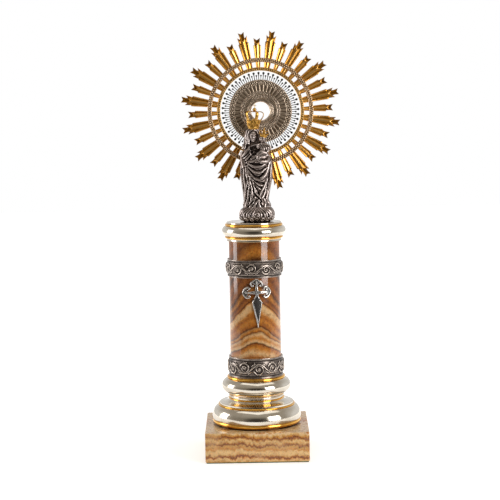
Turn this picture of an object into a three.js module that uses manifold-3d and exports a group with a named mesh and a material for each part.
// A devotional statue on a pillar: a mother and child in oxidised silver, crowned in gilt,
// stand on an onyx column before a lift-off sunburst of thirty-two gilt rays.
// Millimetres, +Z up, the front faces -Y. The origin is the middle of the resting face.
import * as THREE from "three";
import { mergeVertices } from "three/addons/utils/BufferGeometryUtils.js";
import Module from "manifold-3d";

const wasm = await Module();
wasm.setup();

// ---- Driving dimensions -------------------------------------------------------------------
const RUNNING_GAP = 0.3; // between pieces that fit round each other
const TURNED_SEGMENTS = 32; // facets round a turned piece

const FELT_THICK = 1;
const FELT_SIDE = 98;
const PLINTH_SIDE = 100;
const PLINTH_TOP = 29.4;
const PLINTH_EDGE = 0.8; // eased edge of the block
const COUNTERBORE_R = 11;
const COUNTERBORE_TOP = 11;

const ROD_R = 3;
const ROD_BORE_R = 4;
const ROD_BOTTOM = 4;
const ROD_TOP = 234.5;
const WASHER_R = 9;
const WASHER_THICK = 1.5;
const NUT_FLATS = 10;
const NUT_HEIGHT = 5;

const RIM_R = 43.4;
const RIM_FOOT_TOP = 31;
const RIM_TOP = 35;
const LOWER_TORUS_TOP = 48.2;
const SCOTIA_TOP = 61;
const UPPER_TORUS_TOP = 75;
const SEAT_TOP = 77.2;
const SHAFT_FOOT_R = 25.1;
const SHAFT_HEAD_R = 24.8;
const BAND_INNER_R = SHAFT_FOOT_R + RUNNING_GAP;
const LOWER_BAND = { bottom: SEAT_TOP, top: 96.6, edgeR: 26.4, bulgeR: 28.1 };
const UPPER_BAND = { bottom: 175.2, top: 192, edgeR: 26.2, bulgeR: 28.5 };
const RELIEF = 0.7; // how far the leaves stand out of a band
const RELIEF_SEGMENTS = 48;
const SCROLLS = 12; // leaves round a band
const CAPITAL_BOTTOM = 209.6;
const CAPITAL_TORUS_BOTTOM = 214.4;
const CAPITAL_TORUS_TOP = 224.2;
const CAPITAL_RING_TOP = 226.3;
const CAPITAL_TOP = 228;

const FIGURE_X = 3.3; // the group stands a little right of the column's axis
const FIGURE_Y = -1.5;
const CLOUD_TOP = 242.4;
const CLOUD_PUFFS = 10;
const ROBE_FOLDS = 11;

const HEAD = { x: 0.9, y: -4, z: 311.4, rx: 5.6, ry: 6, rz: 8 };
const CROWN_BASE_Z = 317.3;
const CROWN_LEAN = 5; // degrees towards the child
const CHILD_HEAD = { x: 9.9, y: -10, z: 308, r: 3.8 };
const CHILD_CROWN_LEAN = 10;

const SUN_X = 8.4;
const SUN_Z = 334.3;
const SUN_TURN = -2.1; // degrees, clockwise from the front
const RAY_COUNT = 32;
const RAY_ROOT = 40.8;
const RAY_BACK_Y = 13;
const RAY_PLATE = 0.8; // thickness at a ray's edge
const RAY_THICK = 1.5; // and at its ridge
const LONG_RAY_R = 78.2;
const SHORT_RAY_R = 70.4;
const RING_THICK = 1.2;
const INNER_RING = { inner: 39.1, outer: 42.5 };
const OUTER_RING = { inner: 47.4, outer: 51.6 };
const RING_BACK_Y = RAY_BACK_Y - RAY_THICK - RUNNING_GAP;
const LACE_HOLE_R = 8.9;
const LACE_BODY_R = 30.5;
const LACE_PIN_R = 38.3;
const LACE_THICK = 1.2;
const LACE_PINS = 48;

const STEM_WIDTH = 5;
const STEM_THICK = 1.6;
const STEM_BOTTOM = 247.4;
const STEM_TOP = 312;
const PAD_BOTTOM = 306; // the stem's pad, behind the lace disc, runs from here to the top
const STEM_Y = RAY_BACK_Y + RUNNING_GAP; // front face of the stem
const SOCKET_BOTTOM = 244.9; // the socket ends below the lowest ray
const SOCKET_TOP = 259.9;

// ---- Materials ----------------------------------------------------------------------------
const metal = (color, roughness) =>
  new THREE.MeshStandardMaterial({ color, roughness, metalness: 1 });
const ONYX = new THREE.MeshStandardMaterial({ color: 0xb9752f, roughness: 0.15, metalness: 0 });
const FELT = new THREE.MeshStandardMaterial({ color: 0x2c4a2e, roughness: 0.95, metalness: 0 });
const STEEL = metal(0xa6a8aa, 0.35);
const SILVERED = metal(0xcfc9bb, 0.12);
const GILT = metal(0xd9982e, 0.2);
const OXIDISED = metal(0x6f665c, 0.35);
const LACE = metal(0x93826a, 0.45);

// ---- Geometry helpers ---------------------------------------------------------------------
const point = (x, y) => new THREE.Vector2(x, y);

function solidFrom(geometry) {
  const bare = geometry.clone();
  bare.deleteAttribute("normal");
  bare.deleteAttribute("uv");
  const merged = mergeVertices(bare, 1e-3);
  return new wasm.Manifold(
    new wasm.Mesh({
      numProp: 3,
      vertProperties: merged.attributes.position.array,
      triVerts: new Uint32Array(merged.index.array),
    }),
  );
}

function geometryFrom(solid) {
  const mesh = solid.getMesh();
  const geometry = new THREE.BufferGeometry();
  geometry.setAttribute("position", new THREE.BufferAttribute(mesh.vertProperties, 3));
  geometry.setIndex(new THREE.BufferAttribute(mesh.triVerts, 1));
  return geometry;
}

function joined(first, ...others) {
  return geometryFrom(others.reduce((sum, g) => sum.add(solidFrom(g)), solidFrom(first)));
}

function cut(body, ...tools) {
  return geometryFrom(tools.reduce((rest, g) => rest.subtract(solidFrom(g)), solidFrom(body)));
}

// A closed profile of (radius, height) points, listed up the outside and down the inside,
// turned about +Z.
function turned(profile, segments = TURNED_SEGMENTS) {
  const closed = [...profile, profile[0]];
  return new THREE.LatheGeometry(closed, segments).rotateX(Math.PI / 2);
}

// Points up an elliptical moulding between two heights.
function moulding(centreR, centreZ, a, b, bottom, top, steps) {
  const from = Math.asin((bottom - centreZ) / b);
  const to = Math.asin((top - centreZ) / b);
  return Array.from({ length: steps + 1 }, (_, i) => {
    const angle = from + ((to - from) * i) / steps;
    return point(centreR + a * Math.cos(angle), centreZ + b * Math.sin(angle));
  });
}

function cylinder(r, bottom, top, segments = 24) {
  return new THREE.CylinderGeometry(r, r, top - bottom, segments)
    .rotateX(Math.PI / 2)
    .translate(0, 0, (bottom + top) / 2);
}

function box(x0, x1, y0, y1, z0, z1) {
  return new THREE.BoxGeometry(x1 - x0, y1 - y0, z1 - z0).translate(
    (x0 + x1) / 2,
    (y0 + y1) / 2,
    (z0 + z1) / 2,
  );
}

function ellipsoid(x, y, z, rx, ry, rz, around = 16, up = 10) {
  return new THREE.SphereGeometry(1, around, up)
    .rotateX(Math.PI / 2)
    .scale(rx, ry, rz)
    .translate(x, y, z);
}

// An ellipsoid of the given radius whose long axis runs from one point to another.
function limb(from, to, r, around = 10, up = 7) {
  const start = new THREE.Vector3(...from);
  const end = new THREE.Vector3(...to);
  const along = end.clone().sub(start);
  const turn = new THREE.Quaternion().setFromUnitVectors(
    new THREE.Vector3(0, 1, 0),
    along.clone().normalize(),
  );
  return new THREE.SphereGeometry(1, around, up)
    .scale(r, along.length() / 2, r)
    .applyQuaternion(turn)
    .translate(...start.add(end).multiplyScalar(0.5).toArray());
}

// A plate in the XZ plane, its back at y = 0 and its face towards -Y.
function plate(outline, thick) {
  return new THREE.ExtrudeGeometry(new THREE.Shape(outline), {
    depth: thick,
    bevelEnabled: false,
  }).rotateX(Math.PI / 2);
}

// A closed body through elliptical sections { z, x, y, rx, ry, fold }, from the lowest to the
// highest. A fold is how far the cloth stands out and falls back, in folds round the section.
function lofted(sections, around = 20, folds = 0) {
  const positions = [];
  const index = [];
  for (const s of sections) {
    for (let i = 0; i < around; i++) {
      const angle = (2 * Math.PI * i) / around;
      const out = s.fold * Math.cos(folds * angle);
      positions.push(
        s.x + (s.rx + out) * Math.cos(angle),
        s.y + (s.ry + out) * Math.sin(angle),
        s.z,
      );
    }
  }
  for (let row = 0; row < sections.length - 1; row++) {
    for (let i = 0; i < around; i++) {
      const a = row * around + i;
      const b = row * around + ((i + 1) % around);
      index.push(a, b, b + around, a, b + around, a + around);
    }
  }
  const last = (sections.length - 1) * around;
  for (let i = 1; i < around - 1; i++) {
    index.push(0, i + 1, i, last, last + i, last + i + 1);
  }
  const geometry = new THREE.BufferGeometry();
  geometry.setAttribute("position", new THREE.Float32BufferAttribute(positions, 3));
  geometry.setIndex(index);
  return geometry;
}

function swept(curve, halfWidth, halfThick, steps) {
  const section = new THREE.Shape([
    point(-halfWidth, -halfThick),
    point(halfWidth, -halfThick),
    point(halfWidth, halfThick),
    point(-halfWidth, halfThick),
  ]);
  return new THREE.ExtrudeGeometry(section, { extrudePath: curve, steps, bevelEnabled: false });
}

const part = new THREE.Group();

function add(name, geometry, material, parent = part) {
  const mesh = new THREE.Mesh(geometry, material);
  mesh.name = name;
  parent.add(mesh);
  return mesh;
}

// ---- Plinth, felt and the tie rod that holds the column together ----------------------------
function plinthBlock() {
  const half = PLINTH_SIDE / 2 - PLINTH_EDGE;
  const square = new THREE.Shape([
    point(-half, -half),
    point(half, -half),
    point(half, half),
    point(-half, half),
  ]);
  const height = PLINTH_TOP - FELT_THICK;
  const block = new THREE.ExtrudeGeometry(square, {
    depth: height - 2 * PLINTH_EDGE,
    bevelSize: PLINTH_EDGE,
    bevelThickness: PLINTH_EDGE,
    bevelSegments: 2,
  }).translate(0, 0, FELT_THICK + PLINTH_EDGE);
  return cut(
    block,
    cylinder(ROD_BORE_R, 0, PLINTH_TOP + 1),
    cylinder(COUNTERBORE_R, 0, COUNTERBORE_TOP, 32),
  );
}

function ringPlate(innerR, outerR, bottom, top, segments) {
  return turned(
    [point(outerR, bottom), point(outerR, top), point(innerR, top), point(innerR, bottom)],
    segments,
  );
}

function hexNut(bottom) {
  const acrossCorners = NUT_FLATS / Math.cos(Math.PI / 6);
  const hex = new THREE.CylinderGeometry(acrossCorners / 2, acrossCorners / 2, NUT_HEIGHT, 6)
    .rotateX(Math.PI / 2)
    .translate(0, 0, bottom + NUT_HEIGHT / 2);
  return cut(hex, cylinder(ROD_R + RUNNING_GAP, bottom - 1, bottom + NUT_HEIGHT + 1));
}

const feltHalf = FELT_SIDE / 2;
const washerBottom = COUNTERBORE_TOP - WASHER_THICK;
add("base_felt", box(-feltHalf, feltHalf, -feltHalf, feltHalf, 0, FELT_THICK), FELT);
add("plinth", plinthBlock(), ONYX);
add("tie_rod", cylinder(ROD_R, ROD_BOTTOM, ROD_TOP, 16), STEEL);
add(
  "base_washer",
  ringPlate(ROD_R + RUNNING_GAP, WASHER_R, washerBottom, COUNTERBORE_TOP, 24),
  STEEL,
);
add("base_nut", hexNut(washerBottom - NUT_HEIGHT), STEEL);

// ---- Turned base ----------------------------------------------------------------------------
add(
  "base_rim",
  turned([
    point(RIM_R - 2, PLINTH_TOP),
    point(RIM_R - 2, RIM_FOOT_TOP),
    point(RIM_R - 0.8, RIM_FOOT_TOP + 0.1),
    point(RIM_R, RIM_FOOT_TOP + 1.2),
    point(RIM_R, RIM_TOP - 1.2),
    point(RIM_R - 0.8, RIM_TOP),
    point(30, RIM_TOP),
    point(30, PLINTH_TOP),
  ]),
  GILT,
);
add(
  "lower_torus",
  turned([
    ...moulding(34.9, 38.2, 8.6, 10.5, RIM_TOP, LOWER_TORUS_TOP, 7),
    point(30, LOWER_TORUS_TOP),
    point(30, RIM_TOP),
  ]),
  SILVERED,
);
add(
  "scotia",
  turned([
    point(37.5, LOWER_TORUS_TOP + 0.05),
    point(37.5, 49.4),
    point(36, 49.9),
    point(36, 51.4),
    point(30.5, 52.9),
    point(27.4, 54.8),
    point(26.3, 56),
    point(27, 57.5),
    point(26.7, 58.8),
    point(29, SCOTIA_TOP),
    point(ROD_BORE_R, SCOTIA_TOP),
    point(ROD_BORE_R, LOWER_TORUS_TOP + 0.05),
  ]),
  SILVERED,
);
add(
  "upper_torus",
  turned([
    ...moulding(24.5, 67.6, 9.4, 7.8, SCOTIA_TOP, UPPER_TORUS_TOP, 7),
    point(12, UPPER_TORUS_TOP),
    point(12, SCOTIA_TOP),
  ]),
  SILVERED,
);
add(
  "seat_ring",
  turned([
    point(28.4, UPPER_TORUS_TOP),
    point(28.6, UPPER_TORUS_TOP + 1),
    point(27.6, SEAT_TOP),
    point(BAND_INNER_R, SEAT_TOP),
    point(BAND_INNER_R, UPPER_TORUS_TOP),
  ]),
  GILT,
);

// ---- Column shaft, bands and the sword-shaped cross -------------------------------------------
add(
  "shaft",
  turned([
    point(SHAFT_FOOT_R, UPPER_TORUS_TOP),
    point(SHAFT_HEAD_R, CAPITAL_TORUS_BOTTOM),
    point(ROD_BORE_R, CAPITAL_TORUS_BOTTOM),
    point(ROD_BORE_R, UPPER_TORUS_TOP),
  ]),
  ONYX,
);

// A band with a raised scroll of leaves, which climbs and falls round a bulging strip.
function repousseBand({ bottom, top, edgeR, bulgeR }) {
  const middle = (bottom + top) / 2;
  const half = (top - bottom) / 2;
  const stripFoot = middle - 0.75 * half;
  const stripHead = middle + 0.75 * half;
  const strip = moulding(edgeR, middle, bulgeR - edgeR - RELIEF, half, stripFoot, stripHead, 5);
  const band = turned(
    [
      point(edgeR, bottom),
      point(edgeR, bottom + 0.14 * half),
      ...strip,
      point(edgeR, top - 0.14 * half),
      point(edgeR, top),
      point(BAND_INNER_R, top),
      point(BAND_INNER_R, bottom),
    ],
    RELIEF_SEGMENTS,
  );
  const position = band.getAttribute("position");
  for (let i = 0; i < position.count; i++) {
    const [x, y, z] = [position.getX(i), position.getY(i), position.getZ(i)];
    if (Math.abs(z - middle) > 0.7 * half || Math.hypot(x, y) < edgeR) continue;
    const turn = SCROLLS * Math.atan2(y, x);
    const climb = (Math.PI * (z - middle)) / half;
    const raised = (RELIEF * Math.cos(turn + 1.4 * Math.sin(climb)) * Math.cos(climb / 2)) / edgeR;
    position.setXYZ(i, x * (1 + raised), y * (1 + raised), z);
  }
  return band;
}
add("lower_band", repousseBand(LOWER_BAND), OXIDISED);
add("upper_band", repousseBand(UPPER_BAND), OXIDISED);

// The right half of the cross, from the blade's tip up to the top of the upper fleur.
const CROSS_HALF = [
  [0, -34.8],
  [1.3, -30],
  [4.9, -9.8],
  [1.5, -3.5],
  [1.5, -1.5],
  [5.2, -1.2],
  [6.6, -4.3],
  [9.6, -5.3],
  [11.6, -3.4],
  [14.3, 0],
  [11.6, 3.4],
  [9.6, 5.3],
  [6.6, 4.3],
  [5.2, 1.2],
  [1.5, 1.5],
  [1.5, 3.6],
  [4.9, 5.4],
  [5.6, 8],
  [3.6, 11],
  [0, 13.5],
];
const CROSS_CENTRE_Z = 161.4;
const CROSS_X = 1.8;
const CROSS_TURN = 1.5; // degrees, the tip a little to the right
const CROSS_BACK_R = SHAFT_FOOT_R + 0.6;
const CROSS_THICK = 1.8;

// Bends a plate in the XZ plane round the column, so that its back lies on a circle of backR.
function bentRoundColumn(geometry, backR) {
  const position = geometry.getAttribute("position");
  for (let i = 0; i < position.count; i++) {
    const angle = position.getX(i) / backR;
    const r = backR - position.getY(i);
    position.setXYZ(i, r * Math.sin(angle), -r * Math.cos(angle), position.getZ(i));
  }
  return geometry;
}

function swordCross() {
  const mirrored = CROSS_HALF.slice(1, -1)
    .reverse()
    .map(([x, z]) => [-x, z]);
  const outline = [...CROSS_HALF, ...mirrored].map(([x, z]) => point(x, z));
  const flat = plate(outline, CROSS_THICK)
    .rotateY(THREE.MathUtils.degToRad(-CROSS_TURN))
    .translate(CROSS_X, 0, CROSS_CENTRE_Z);
  return bentRoundColumn(flat, CROSS_BACK_R);
}
add("sword_cross", swordCross(), OXIDISED);

// ---- Capital ----------------------------------------------------------------------------------
add(
  "capital_lower_ring",
  turned([
    point(26.2, CAPITAL_BOTTOM),
    point(27.9, CAPITAL_BOTTOM + 1.4),
    point(28.4, CAPITAL_BOTTOM + 2.4),
    point(28.4, CAPITAL_TORUS_BOTTOM - 1.2),
    point(27.7, CAPITAL_TORUS_BOTTOM),
    point(BAND_INNER_R, CAPITAL_TORUS_BOTTOM),
    point(BAND_INNER_R, CAPITAL_BOTTOM),
  ]),
  GILT,
);
add(
  "capital_torus",
  turned([
    ...moulding(26.2, 219.3, 4.9, 5.3, CAPITAL_TORUS_BOTTOM, CAPITAL_TORUS_TOP, 6),
    point(12, CAPITAL_TORUS_TOP),
    point(12, CAPITAL_TORUS_BOTTOM),
  ]),
  SILVERED,
);
add(
  "capital_upper_ring",
  turned([
    point(27.6, CAPITAL_TORUS_TOP),
    point(28.2, CAPITAL_TORUS_TOP + 1),
    point(27.4, CAPITAL_RING_TOP),
    point(12, CAPITAL_RING_TOP),
    point(12, CAPITAL_TORUS_TOP),
  ]),
  GILT,
);
add("capital_disc", ringPlate(ROD_BORE_R, 26.8, CAPITAL_RING_TOP, CAPITAL_TOP), SILVERED);

// ---- Cloud and figures --------------------------------------------------------------------------
function at(z, rx, ry, fold = 0, x = 0, y = 0) {
  return { z, rx, ry, fold, x: FIGURE_X + x, y: FIGURE_Y + y };
}

function cloudBase() {
  const core = lofted(
    [
      at(CAPITAL_TOP, 15, 12),
      at(230.4, 16.4, 13),
      at(237.4, 15.8, 12.4),
      at(CLOUD_TOP, 12.6, 10.6),
    ],
    24,
  );
  const puffs = Array.from({ length: CLOUD_PUFFS }, (_, i) => {
    const angle = (2 * Math.PI * i) / CLOUD_PUFFS - Math.PI / 2;
    const low = i % 2 === 1;
    const x = FIGURE_X + 12.6 * Math.cos(angle);
    const y = FIGURE_Y + 9.4 * Math.sin(angle);
    return ellipsoid(x, y, low ? 232.4 : 236, 5.2, 5, low ? 4.4 : 5.6, 10, 6);
  });
  const boss = ellipsoid(FIGURE_X, FIGURE_Y - 14.6, 232.8, 2.6, 2.2, 3, 10, 6);
  const bore = cylinder(ROD_R + RUNNING_GAP, CAPITAL_TOP - 1, ROD_TOP + 0.5);
  return cut(joined(core, ...puffs, boss), bore);
}

// The mother: a mantle drawn over the head, the face in its opening, and both forearms. Her
// right hand gathers the mantle at the hip; the left forearm carries the child.
function motherFigure() {
  const { x, y, z, rx, ry, rz } = HEAD;
  const robe = lofted(
    [
      at(CLOUD_TOP, 12.4, 10, 0.7),
      at(247.4, 12, 9.6, 0.9),
      at(253.4, 12.5, 9.6, 0.9),
      at(260.4, 13.8, 9.6, 0.8),
      at(267.4, 14.9, 9.8, 0.7),
      at(274.4, 15.5, 10, 0.7),
      at(281.4, 15.7, 10, 0.6),
      at(288.4, 15.2, 9.8, 0.6),
      at(293.4, 13.9, 9.4, 0.5),
      at(297.4, 12.2, 8.6, 0.4),
      at(300.4, 9.6, 7.6, 0.3, -0.8, -0.4),
      at(303.4, 6.9, 6.6, 0.2, -1.6, -1),
      at(306.4, 6, 6.2, 0, -2.2, -1.6),
    ],
    4 * ROBE_FOLDS,
    ROBE_FOLDS,
  );
  const hood = ellipsoid(x, y + 1, z, rx + 0.7, ry + 0.4, rz + 0.2, 18, 12);
  const crownSeat = ringPlate(3.9, 12, 0, 6, 24)
    .rotateY(THREE.MathUtils.degToRad(CROWN_LEAN))
    .translate(x, y, CROWN_BASE_Z - 0.3);
  const face = [
    ellipsoid(x, y - 2.6, z - 1.4, 3.9, 4, 5.6, 14, 10),
    ellipsoid(x, y - 6.5, z - 1.6, 0.55, 0.75, 1.2, 8, 6),
    ellipsoid(x - 1.45, y - 5.8, z - 0.5, 0.8, 0.6, 0.45, 8, 6),
    ellipsoid(x + 1.45, y - 5.8, z - 0.5, 0.8, 0.6, 0.45, 8, 6),
    ellipsoid(x, y - 6.1, z - 3.7, 0.95, 0.5, 0.4, 8, 6),
  ];
  const arms = [
    limb([-11.8, -3, 292.4], [-6, -11.6, 278.4], 3.4),
    limb([-8.6, -10, 280.4], [-2, -13, 272.4], 2.2),
    limb([17, -3, 292.4], [13.4, -13, 282.4], 3.8),
    limb([15.6, -10.4, 284.4], [3.4, -13.4, 286], 2.6),
  ];
  return joined(robe, cut(hood, crownSeat), ...face, ...arms);
}

// The child sits on the mother's forearm with one arm raised.
function childFigure() {
  const { x, y, z, r } = CHILD_HEAD;
  return joined(
    ellipsoid(x, y, z, r, r, r * 1.1, 14, 10),
    ellipsoid(x - 0.4, y - 3.7, z - 0.7, 0.4, 0.5, 0.7, 8, 6),
    limb([x + 0.4, y + 0.4, z - 1.6], [x + 1.8, y - 1, z - 17.6], 4.6, 12, 9),
    limb([x + 3.4, y - 2, z - 14.4], [x - 5.6, y - 5.4, z - 18.2], 2.7),
    limb([x + 3.2, y - 0.6, z - 4.6], [x + 6.4, y - 4, z - 13], 1.8),
    limb([x - 2, y - 1, z - 5], [x - 4.4, y - 5.4, z - 6.6], 1.4),
  );
}

// A solid grown by the running gap towards the given directions, to cut a neighbour clear of it.
function grown(solid, directions) {
  return directions.reduce(
    (sum, way) => sum.add(solid.translate(way.map((step) => step * RUNNING_GAP))),
    solid,
  );
}

const mother = solidFrom(motherFigure());
const aroundMother = grown(mother, [
  [0, -1, 0],
  [1, 0, 0],
  [-1, 0, 0],
  [0, 0, 1],
  [0, 0, -1],
]);
add("cloud_base", cloudBase(), OXIDISED);
add("mother_figure", geometryFrom(mother), OXIDISED);
add("child_figure", geometryFrom(solidFrom(childFigure()).subtract(aroundMother)), OXIDISED);

// ---- Crowns ---------------------------------------------------------------------------------------
// An imperial crown on its own axis, its foot at z = 0: flared basket, arches, orb and cross.
function crown({ baseR, rimR, rimZ, archR, archZ, topZ, orbR, crossH, wall, arches, around }) {
  const basket = turned(
    [
      point(baseR, 0),
      point(baseR + 0.1, 0.15 * rimZ),
      point((baseR + rimR) / 2 + 0.1, 0.6 * rimZ),
      point(rimR, rimZ),
      point(rimR - wall, rimZ),
      point((baseR + rimR) / 2 + 0.1 - wall, 0.6 * rimZ),
      point(baseR - wall, 0.15 * rimZ),
      point(baseR - wall, 0),
    ],
    around,
  );
  const pieces = Array.from({ length: arches }, (_, i) => {
    const arch = new THREE.CatmullRomCurve3([
      new THREE.Vector3(rimR - wall / 2, 0, rimZ - wall),
      new THREE.Vector3(archR, 0, archZ),
      new THREE.Vector3(archR * 0.72, 0, topZ - wall),
      new THREE.Vector3(0.2 * wall, 0, topZ),
    ]);
    return swept(arch, wall * 0.55, wall * 0.55, 5).rotateZ((2 * Math.PI * i) / arches);
  });
  const orbZ = topZ + orbR * 0.9;
  const crossZ = orbZ + orbR * 0.8;
  const bar = wall * 0.45;
  const arm = crossH * 0.34;
  return joined(
    basket,
    ...pieces,
    ellipsoid(0, 0, orbZ, orbR, orbR, orbR, 10, 6),
    box(-bar, bar, -bar, bar, crossZ, crossZ + crossH),
    box(-arm, arm, -bar, bar, crossZ + crossH * 0.45, crossZ + crossH * 0.72),
  );
}

const motherCrown = add(
  "mother_crown",
  crown({
    baseR: 5,
    rimR: 7.2,
    rimZ: 10.5,
    archR: 9,
    archZ: 14.6,
    topZ: 17.6,
    orbR: 1.9,
    crossH: 3.6,
    wall: 0.8,
    arches: 5,
    around: 20,
  }),
  GILT,
);
motherCrown.position.set(HEAD.x, HEAD.y, CROWN_BASE_Z);
motherCrown.rotation.y = THREE.MathUtils.degToRad(CROWN_LEAN);

const childCrown = add(
  "child_crown",
  crown({
    baseR: 3.2,
    rimR: 4.2,
    rimZ: 3.6,
    archR: 4.4,
    archZ: 4.8,
    topZ: 6.2,
    orbR: 0.9,
    crossH: 1.6,
    wall: 0.6,
    arches: 4,
    around: 14,
  }),
  GILT,
);
childCrown.position.set(CHILD_HEAD.x + 0.5, CHILD_HEAD.y - 0.2, CHILD_HEAD.z + 3.4);
childCrown.rotation.set(
  THREE.MathUtils.degToRad(CHILD_CROWN_LEAN),
  THREE.MathUtils.degToRad(CHILD_CROWN_LEAN),
  0,
);

// ---- Socket on the figure's back, and the sunburst that lifts out of it ----------------------------
function stemSocket() {
  const x0 = SUN_X - STEM_WIDTH / 2;
  const x1 = SUN_X + STEM_WIDTH / 2;
  const y1 = STEM_Y + STEM_THICK;
  const gap = RUNNING_GAP;
  const wall = 1.2;
  const back = 6.5; // reaches into the figure's back
  const side = gap + wall;
  const block = box(x0 - side, x1 + side, back, y1 + side, SOCKET_BOTTOM, SOCKET_TOP);
  const slot = box(x0 - gap, x1 + gap, STEM_Y - gap, y1 + gap, STEM_BOTTOM - gap, SOCKET_TOP + 1);
  return geometryFrom(
    solidFrom(block)
      .subtract(solidFrom(slot))
      .subtract(grown(mother, [[0, 1, 0]])),
  );
}
add("stem_socket", stemSocket(), OXIDISED);

const sun = new THREE.Group();
sun.position.set(SUN_X, 0, SUN_Z);
part.add(sun);

// A flat bar behind the rays, with a pad at its top that reaches forward to the lace disc.
function sunStem() {
  const half = STEM_WIDTH / 2;
  const bar = (y0, y1, z0, z1) => box(-half, half, y0, y1, z0 - SUN_Z, z1 - SUN_Z);
  return joined(
    bar(STEM_Y, STEM_Y + STEM_THICK, STEM_BOTTOM, STEM_TOP),
    bar(RING_BACK_Y + RUNNING_GAP, STEM_Y + 0.2, PAD_BOTTOM, STEM_TOP),
  );
}
add("sun_stem", sunStem(), GILT, sun);

function flatRing({ inner, outer }) {
  const bottom = -RING_BACK_Y;
  return ringPlate(inner, outer, bottom, bottom + RING_THICK, 56).rotateX(Math.PI / 2);
}

add("inner_ring", flatRing(INNER_RING), GILT, sun);
add("outer_ring", flatRing(OUTER_RING), GILT, sun);

// The lace disc: a pierced plate whose edge breaks into pins.
function laceDisc() {
  const pitch = (2 * Math.PI) / LACE_PINS;
  const outline = [];
  for (let i = 0; i < LACE_PINS; i++) {
    const middle = i * pitch;
    for (const [share, r] of [
      [-0.2, LACE_BODY_R],
      [-0.2, LACE_PIN_R],
      [0.2, LACE_PIN_R],
      [0.2, LACE_BODY_R],
    ]) {
      const angle = middle + share * pitch;
      outline.push(point(r * Math.cos(angle), r * Math.sin(angle)));
    }
  }
  const shape = new THREE.Shape(outline);
  shape.holes.push(new THREE.Path().absarc(0, 0, LACE_HOLE_R, 0, 2 * Math.PI, true));
  return new THREE.ExtrudeGeometry(shape, {
    depth: LACE_THICK,
    bevelEnabled: false,
    curveSegments: 16,
  })
    .rotateX(Math.PI / 2)
    .translate(0, RING_BACK_Y, 0);
}
add("lace_disc", laceDisc(), LACE, sun);

// Half outlines of the rays, as [half width, radius], from the root outwards. A ray widens
// evenly from its root to its shoulders, and ends in fishtails.
const LONG_RAY = { rootHalf: 2.6, half: 4.95, shoulder: 66.9, fork: 68.3, tip: LONG_RAY_R };
const SHORT_RAY = { rootHalf: 1.7, half: 3.55, shoulder: 63.2, fork: 64.9, tip: SHORT_RAY_R };

function longRayHalf({ rootHalf, half, shoulder, tip }) {
  return [
    [rootHalf, RAY_ROOT],
    [half, shoulder],
    [half - 0.9, shoulder + 0.7],
    [half - 0.3, tip - 4.5],
    [2.5, tip - 6.3],
    [2.3, tip - 4.1],
    [2.8, tip],
    [0, tip - 1.7],
  ];
}

function shortRayHalf({ rootHalf, half, shoulder, tip }) {
  return [
    [rootHalf, RAY_ROOT],
    [half, shoulder],
    [half - 0.95, shoulder + 0.8],
    [half - 0.95, tip - 3.6],
    [3.05, tip],
    [0, tip - 1.9],
  ];
}

// The roof-shaped ridge along a ray, from its root to an arrow point at the shoulders.
function ridge({ rootHalf, fork }) {
  const back = -RAY_PLATE + 0.1;
  const crest = -RAY_THICK;
  const rootWidth = 0.5 * rootHalf;
  const tipWidth = 2.3;
  const root = RAY_ROOT + 0.5;
  const positions = [
    [-rootWidth, back, root],
    [rootWidth, back, root],
    [0, crest, root],
    [-tipWidth, back, fork],
    [tipWidth, back, fork],
    [0, crest, fork - 1],
    [0, back, fork + 1.6],
  ];
  const geometry = new THREE.BufferGeometry();
  geometry.setAttribute("position", new THREE.Float32BufferAttribute(positions.flat(), 3));
  geometry.setIndex([
    0, 1, 2, 0, 2, 5, 0, 5, 3, 1, 4, 5, 1, 5, 2, 3, 5, 6, 4, 6, 5, 0, 3, 6, 0, 6, 4, 0, 4, 1,
  ]);
  return geometry;
}

function ray(half, shape) {
  const mirrored = half
    .slice(0, -1)
    .reverse()
    .map(([x, r]) => [-x, r]);
  const outline = [...half, ...mirrored].map(([x, r]) => point(x, r));
  return joined(plate(outline, RAY_PLATE), ridge(shape)).translate(0, RAY_BACK_Y, 0);
}

for (let i = 0; i < RAY_COUNT; i++) {
  const long = i % 2 === 1;
  const number = String(Math.floor(i / 2) + 1).padStart(2, "0");
  const name = `${long ? "long" : "short"}_ray_${number}`;
  const body = long ? ray(longRayHalf(LONG_RAY), LONG_RAY) : ray(shortRayHalf(SHORT_RAY), SHORT_RAY);
  const mesh = add(name, body, GILT, sun);
  mesh.rotation.y = THREE.MathUtils.degToRad(SUN_TURN + (360 / RAY_COUNT) * i);
}

export default part;
